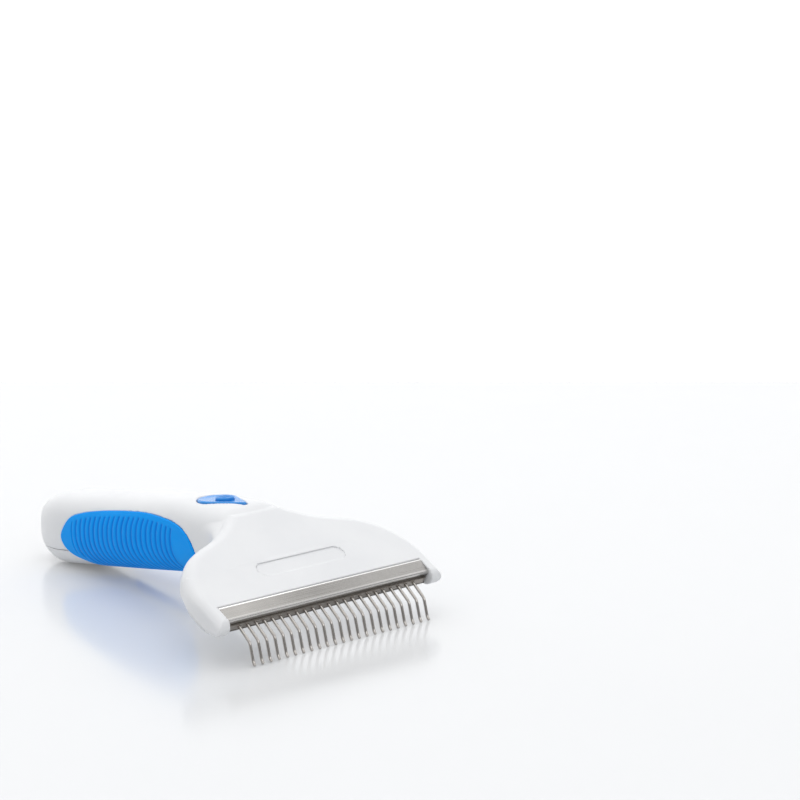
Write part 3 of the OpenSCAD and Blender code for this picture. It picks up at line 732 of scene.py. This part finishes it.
def coordinates(nodes, links, scale):
    at = node(nodes, "ShaderNodeTexCoord")
    mapping = node(nodes, "ShaderNodeMapping")
    mapping.inputs["Scale"].default_value = scale
    links.new(at.outputs["Object"], mapping.inputs["Vector"])
    return mapping.outputs["Vector"]


def noise(nodes, links, where, scale, detail=3, rough=0.5):
    n = node(nodes, "ShaderNodeTexNoise")
    n.inputs["Scale"].default_value = scale
    n.inputs["Detail"].default_value = detail
    n.inputs["Roughness"].default_value = rough
    links.new(where, n.inputs["Vector"])
    return n.outputs["Fac"]


def spread(nodes, links, value, low, high, a=0.35, b=0.65):
    """Maps a value between a and b onto low to high."""
    n = node(nodes, "ShaderNodeMapRange")
    for key, v in (("From Min", a), ("From Max", b), ("To Min", low), ("To Max", high)):
        n.inputs[key].default_value = v
    links.new(value, n.inputs["Value"])
    return n.outputs["Result"]


def bumps(nodes, links, shader, heights):
    """Stacks bumps: (height socket, distance in metres, strength)."""
    last = None
    for height, distance, strength in heights:
        b = node(nodes, "ShaderNodeBump")
        b.inputs["Distance"].default_value = distance
        b.inputs["Strength"].default_value = strength
        links.new(height, b.inputs["Height"])
        if last is not None:
            links.new(last, b.inputs["Normal"])
        last = b.outputs["Normal"]
    links.new(last, shader.inputs["Normal"])


# Sockets of a Mix node that mixes colours
MIX_FACTOR, MIX_A, MIX_B, MIX_RESULT = 0, 6, 7, 2


def tint(nodes, links, shader, factor, one, two):
    """Base colour that runs from one to two with the factor."""
    mix = node(nodes, "ShaderNodeMix", data_type="RGBA")
    mix.inputs[MIX_A].default_value = (*one, 1)
    mix.inputs[MIX_B].default_value = (*two, 1)
    links.new(factor, mix.inputs[MIX_FACTOR])
    links.new(mix.outputs[MIX_RESULT], shader.inputs["Base Color"])


def plastic(name, base, other, rough, grain=1.0, **sockets):
    """Moulded plastic: two close tints, uneven gloss and a fine grain."""
    m, nodes, links, shader = new_material(name, base, rough, **sockets)
    where = coordinates(nodes, links, (1, 1, 1))
    fine = noise(nodes, links, where, 2600, 2)
    wide = noise(nodes, links, where, 38, 4)
    tint(nodes, links, shader, spread(nodes, links, wide, 0, 1), base, other)
    links.new(spread(nodes, links, noise(nodes, links, where, 210, 4), rough - 0.03, rough + 0.05),
              shader.inputs["Roughness"])
    bumps(nodes, links, shader, [(fine, 0.00002 * grain, 0.35), (wide, 0.00015, 0.10)])
    return m


def metal(name, base, rough, along, strength=0.25, **sockets):
    """Brushed or drawn steel. along gives the scale of the lines on each axis."""
    m, nodes, links, shader = new_material(name, base, rough, 1.0, **sockets)
    where = coordinates(nodes, links, along)
    lines = noise(nodes, links, where, 1.0, 5, 0.6)
    stain = noise(nodes, links, coordinates(nodes, links, (1, 1, 1)), 90, 4)
    dull = tuple(c * 0.92 for c in base)
    tint(nodes, links, shader, spread(nodes, links, stain, 0, 1), base, dull)
    links.new(spread(nodes, links, lines, rough * 0.7, rough * 1.5), shader.inputs["Roughness"])
    bumps(nodes, links, shader, [(lines, 0.00003, strength)])
    return m


WHITE = plastic("white_plastic", (0.79, 0.80, 0.81), (0.755, 0.765, 0.78), 0.36,
                Specular_IOR_Level=0.5, Coat_Weight=0.12, Coat_Roughness=0.18)
BUTTON_BLUE = plastic("button_plastic", (0.012, 0.27, 0.74), (0.01, 0.25, 0.70), 0.24,
                      Coat_Weight=0.3, Coat_Roughness=0.12)
PAD_BLUE = plastic("pad_rubber", (0.012, 0.25, 0.70), (0.01, 0.23, 0.66), 0.34)
INNER = plastic("inner_plastic", (0.055, 0.057, 0.06), (0.04, 0.042, 0.045), 0.5, 1.6)
CHANNEL_STEEL = metal("channel_steel", (0.40, 0.388, 0.372), 0.24, (9, 2600, 2600), 0.16)
# Painted highlight: the channel's folds are painted brighter than its flats, near white on the top
# fold, standing in for the light the bends catch
nodes, links = CHANNEL_STEEL.node_tree.nodes, CHANNEL_STEEL.node_tree.links
shader = nodes["Principled BSDF"]
plain = shader.inputs["Base Color"].links[0].from_socket
highlight_in = node(nodes, "ShaderNodeAttribute", attribute_name="fold_highlight")
mix = node(nodes, "ShaderNodeMix", data_type="RGBA")
links.new(highlight_in.outputs["Fac"], mix.inputs[MIX_FACTOR])
links.new(plain, mix.inputs[MIX_A])
mix.inputs[MIX_B].default_value = (0.97, 0.96, 0.94, 1)
links.new(mix.outputs[MIX_RESULT], shader.inputs["Base Color"])
EJECTOR_STEEL = metal("ejector_steel", (0.36, 0.33, 0.30), 0.34, (30, 1800, 1800), 0.5)
TINE_STEEL = metal("tine_steel", (0.54, 0.515, 0.485), 0.08, (2400, 160, 160), 0.06)
SCREW_STEEL = metal("screw_steel", (0.62, 0.62, 0.63), 0.3, (700, 700, 700), 0.35)
SPRING_STEEL = metal("spring_steel", (0.58, 0.57, 0.55), 0.25, (500, 500, 500), 0.2)

# Soft moulded rubber with a fine matt grain: its grooves are painted darker, a painted shade, and a
# noise adds uneven wear
GRIP_BLUE, nodes, links, shader = new_material("grip_rubber", (0.0, 0.275, 0.77), 0.46,
                                               Specular_IOR_Level=0.14)
where = coordinates(nodes, links, (1, 1, 1))
groove_shade_node = node(nodes, "ShaderNodeAttribute", attribute_name="groove_shade")
wear = noise(nodes, links, where, 60, 4)
shade_and_wear = node(nodes, "ShaderNodeMath", operation="ADD")
# Painted shade in the grooves, plus uneven wear from a noise
links.new(spread(nodes, links, groove_shade_node.outputs["Fac"], 0, 0.85, 0.1, 0.9), shade_and_wear.inputs[0])
links.new(spread(nodes, links, wear, 0, 0.14), shade_and_wear.inputs[1])
tint(nodes, links, shader, shade_and_wear.outputs["Value"], (0.0, 0.34, 0.96), (0.0, 0.20, 0.74))
links.new(spread(nodes, links, noise(nodes, links, where, 300, 3), 0.40, 0.54),
          shader.inputs["Roughness"])
bumps(nodes, links, shader, [(noise(nodes, links, where, 3200, 2), 0.00003, 0.5),
                             (noise(nodes, links, where, 420, 3), 0.00003, 0.25)])

# ======================= shells, grips and button =======================
SHELL_CELL, GRIP_CELL, BUTTON_CELL, PAD_CELL = 0.6, 0.35, 0.25, 0.13
for label, fun, low, high in (("upper_shell", upper_shell, (0, 2, 3), (57.2, 184, 46)),
                              ("lower_shell", lower_shell, (0, 2, -1), (57.2, 184, 34))):
    p, quads, normals = surface(fun, low, high, SHELL_CELL, both=True)
    finish_piece(build(label + "_skin", p, quads, normals), "body", "white_shell", WHITE, label)

p, quads, normals = surface(grip, (1, 65.5, 0), (17.5, 158.5, 37), GRIP_CELL)
amount = grip(p[:, 0], p[:, 1], p[:, 2], want_amount=True)
for side, label in ((1, "right_grip"), (-1, "left_grip")):
    q = p * (side, 1, 1)
    faces = quads if side > 0 else quads[:, ::-1]
    piece = build(label + "_rubber", q, faces, normals * (side, 1, 1))
    # The groove amount is kept on the points for the painted shade in the grooves
    groove_shade = piece.data.attributes.new("groove_shade", "FLOAT", "POINT")
    groove_shade.data.foreach_set("value", amount.astype(np.float32))
    finish_piece(piece, "body", "blue_grip", GRIP_BLUE, label)

p, quads, normals = surface(button, (0, 55, 26.5), (9, 82.5, 45.5), BUTTON_CELL, both=True)
finish_piece(build("button_cap", p, quads, normals), "button", "blue_button", BUTTON_BLUE, "button")
p, quads, normals = surface(thumb_pad, (0, 64, 41), (4.2, 74, 46), PAD_CELL, both=True)
finish_piece(build("thumb_pad_rubber", p, quads, normals), "button", "blue_button", PAD_BLUE,
             "thumb_pad")

# ======================= spring =======================
SPRING_R, WIRE_R, DECK, TURNS = 6.05, 0.3, 32.0, 4
turns = np.linspace(0, TURNS * 2 * math.pi, TURNS * 40 + 1)
rise = DECK + WIRE_R + (ROOF_Z - DECK - 2 * WIRE_R) * turns / turns[-1]
coil = np.stack([SPRING_R * np.cos(turns), BUTTON_S + SPRING_R * np.sin(turns), rise], 1)
spring = sweep("button_coil", coil, WIRE_R, 12)
finish_piece(spring, "body", "spring_steel", SPRING_STEEL, "button_spring")
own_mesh(spring)


# ======================= steel channel =======================
def corner(a, b, c, r, steps=10):
    """Points round the corner at b, of radius r, on the way from a to c."""
    a, b, c = (np.array(v, float) for v in (a, b, c))
    p, q = (a - b) / np.linalg.norm(a - b), (c - b) / np.linalg.norm(c - b)
    half = math.acos(float(p @ q)) / 2
    centre = b + (p + q) / np.linalg.norm(p + q) * r / math.sin(half)
    n0 = (b + p * r / math.tan(half) - centre) / r
    n1 = (b + q * r / math.tan(half) - centre) / r
    out = []
    for i in range(steps + 1):
        n = n0 * (1 - i / steps) + n1 * i / steps
        out.append(centre + n / np.linalg.norm(n) * r)
    return out


SHEET = 0.5  # thickness of the channel's sheet
TOP_FOLD = 2  # the fold painted brightest, a painted highlight
stops = [((0.38, 1.45), 0), ((0.5, 4.05), 1.0), (in_shank(0, 0.1), 0.7),
         (in_shank(-0.02, -WALL), 0.25), (in_shank(6, -WALL), 0)]
line = [np.array(stops[0][0], float)]
highlight_weight = [0.0]
for i in range(1, len(stops) - 1):
    bend = corner(stops[i - 1][0], stops[i][0], stops[i + 1][0], stops[i][1])
    before = line[-1] * 0.04 + bend[0] * 0.96
    after = bend[-1] * 0.93 + np.array(stops[i + 1][0]) * 0.07
    line += [before] + bend + [after]
    # Each point's weight of painted highlight: full on the top fold, 0.35 on the other bends, none
    # on the flats
    highlight_weight += [0.0] + [1.0 if i == TOP_FOLD else 0.35] * len(bend) + [0.0]
line.append(np.array(stops[-1][0], float))
highlight_weight.append(0.0)
line = np.array(line)
along = np.gradient(line, axis=0)
along /= np.linalg.norm(along, axis=1)[:, None]
inner = line + SHEET * np.stack([along[:, 1], -along[:, 0]], 1)
section = np.array([shank_pt(*v) for v in np.vstack([line, inner[::-1]])])
channel = extrude("channel_sheet", section, -CHANNEL_HALF, CHANNEL_HALF)
# The painted fold highlight is stored on the channel's points for its material
fold_highlight = np.array(highlight_weight + highlight_weight[::-1], np.float32)
fold_highlight = np.tile(fold_highlight, len(channel.data.vertices) // len(fold_highlight))
channel.data.attributes.new("fold_highlight", "FLOAT", "POINT").data.foreach_set("value", fold_highlight)
finish_piece(channel, "body", "channel_steel", CHANNEL_STEEL, "front_channel")

# ======================= tines =======================
TINE_R, TINE_N, TINE_PITCH, TINE_ROOT = 0.6, 23, 4.0, 9.0
SHANK_OUT, KNEE_R, KNEE_TURN, FLICK_R, FLICK_TURN = 7.0, 3.2, 36.2, 4.0, 30.0


def arc_line(start, slope, turned, r, steps):
    """Points along an arc that sets out backwards down a slope and turns by an angle."""
    sign = 1 if turned > 0 else -1
    out = []
    for i in range(steps + 1):
        q = slope + turned * i / steps
        out.append((start[0] - sign * r * (math.sin(q) - math.sin(slope)),
                    start[1] + sign * r * (math.cos(q) - math.cos(slope))))
    return out


knee_slope = SHANK + math.radians(KNEE_TURN)
tip_slope = knee_slope - math.radians(FLICK_TURN)
knee_drop = KNEE_R * (math.cos(SHANK) - math.cos(knee_slope))
flick_drop = FLICK_R * (math.cos(tip_slope) - math.cos(knee_slope))
leg_drop = MOUTH[1] - TINE_R - SHANK_OUT * math.sin(SHANK) - knee_drop - flick_drop
leg = leg_drop / math.sin(knee_slope)
root = shank_pt(TINE_ROOT, 0)
knee = shank_pt(-SHANK_OUT, 0)
mid_shank = [shank_pt(a, 0) for a in (6, 3, 0, -3, -6)]
knee_line = arc_line(knee, SHANK, math.radians(KNEE_TURN), KNEE_R, 10)
end = knee_line[-1]
ankle = (end[0] - leg * math.cos(knee_slope), end[1] - leg * math.sin(knee_slope))
straight = [(end[0] + (ankle[0] - end[0]) * k, end[1] + (ankle[1] - end[1]) * k)
            for k in (0.3, 0.6, 0.9)]
# The last step is left to the wire's round tip
flick = arc_line(ankle, knee_slope, -math.radians(FLICK_TURN), FLICK_R, 8)[:-1]
wire = [root] + mid_shank + knee_line + straight + flick
for i in range(1, TINE_N + 1):
    x = (i - (TINE_N + 1) / 2) * TINE_PITCH
    tine = sweep(f"tine_wire_{i}", [(x, s, z) for s, z in wire], TINE_R, 16, tip=True)
    finish_piece(tine, "body", "tine_steel", TINE_STEEL, f"tine_{i}")

# ======================= CAD nodes that keep their shape =======================
for material, names in (
        (INNER, ("carriage", "guide_block", "tine_bar")),
        (EJECTOR_STEEL, ("ejector_comb",)),
        (SCREW_STEEL, ("comb_rivets", "block_screws", "channel_screws", "head_screws",
                       "handle_screws")),
        (TINE_STEEL, ("guide_pins",)),
        (CHANNEL_STEEL, ("lower_plate",))):
    for name in names:
        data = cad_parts[name].data
        data.materials.clear()
        data.materials.append(material)

# ======================= floor and light =======================
forward = np.array([math.sin(YAW), math.cos(YAW)])
right = np.array([forward[1], -forward[0]])
cam_xy = np.array([camera.location.x, camera.location.y])


def quad(name, corners, material):
    """A flat sheet of the set, left out of the object."""
    me = bpy.data.meshes.new(name)
    me.from_pydata(corners, [], [(0, 1, 2, 3)])
    me.materials.append(material)
    o = bpy.data.objects.new(name, me)
    scene.collection.objects.link(o)
    return o


FLOOR, nodes, links, shader = new_material(
    "floor", (0.66, 0.67, 0.68), 0.16, Specular_IOR_Level=0.6,
    Emission_Color=(1, 1, 1, 1), Emission_Strength=0.09)
where = coordinates(nodes, links, (1, 1, 1))
links.new(spread(nodes, links, noise(nodes, links, where, 9, 3), 0.13, 0.2),
          shader.inputs["Roughness"])
WALL_WHITE = new_material("backdrop", (0.7, 0.7, 0.71), 0.7,
                          Emission_Color=(1, 1, 1, 1), Emission_Strength=0.76)[0]

# Distances in metres from the camera
TABLE_NEAR, TABLE_FAR, TABLE_SIDE = -0.6, 1.59, 1.8
BACK_FAR, BACK_SIDE, BACK_LOW, BACK_HIGH = 2.3, 3, -0.8, 2


def out_from_camera(ahead, aside):
    return cam_xy + forward * ahead + right * aside


near_l, near_r = (out_from_camera(TABLE_NEAR, x) for x in (-TABLE_SIDE, TABLE_SIDE))
far_l, far_r = (out_from_camera(TABLE_FAR, x) for x in (-TABLE_SIDE, TABLE_SIDE))
quad("floor", [(*near_l, 0), (*near_r, 0), (*far_r, 0), (*far_l, 0)], FLOOR)
back_l, back_r = (out_from_camera(BACK_FAR, x) for x in (-BACK_SIDE, BACK_SIDE))
quad("backdrop", [(*back_l, BACK_LOW), (*back_r, BACK_LOW), (*back_r, BACK_HIGH),
                  (*back_l, BACK_HIGH)], WALL_WHITE)

# The studio is white above and grey towards its floor
world = bpy.data.worlds.new("studio")
scene.world = world
world.use_nodes = True
nodes, links = world.node_tree.nodes, world.node_tree.links
nodes["Background"].inputs["Strength"].default_value = 0.88
split = node(nodes, "ShaderNodeSeparateXYZ")
links.new(node(nodes, "ShaderNodeTexCoord").outputs["Generated"], split.inputs["Vector"])
ramp = node(nodes, "ShaderNodeValToRGB")
stops = ramp.color_ramp.elements
stops[0].position, stops[0].color = 0.0, (0.16, 0.165, 0.17, 1)
stops[1].position, stops[1].color = 0.75, (1.0, 1.0, 1.0, 1)
for position, level in ((0.10, 0.22), (0.24, 0.75), (0.45, 0.95)):
    stops.new(position).color = (level, level, level * 1.02, 1)
links.new(split.outputs["Z"], ramp.inputs["Fac"])
links.new(ramp.outputs["Color"], nodes["Background"].inputs["Color"])


def softbox(name, place, target, size, power):
    """Rectangular light at a place, turned to a target, in metres and watts."""
    data = bpy.data.lights.new(name, "AREA")
    data.shape = "RECTANGLE"
    data.size, data.size_y = size
    data.energy = power
    o = bpy.data.objects.new(name, data)
    scene.collection.objects.link(o)
    o.location = place
    o.rotation_euler = (Vector(target) - Vector(place)).to_track_quat("-Z", "Y").to_euler()


softbox("overhead", (0.1, 0.3, 1.3), (0, 0, 0), (1.6, 1.6), 5)
softbox("left_window", (-1.3, 0.5, 0.9), (0, 0, 0.02), (0.9, 0.9), 1.5)
softbox("front_fill", (-0.2, -1.5, 0.8), (0, 0, 0.02), (1.0, 0.7), 2.4)
scene.view_settings.view_transform = "Standard"
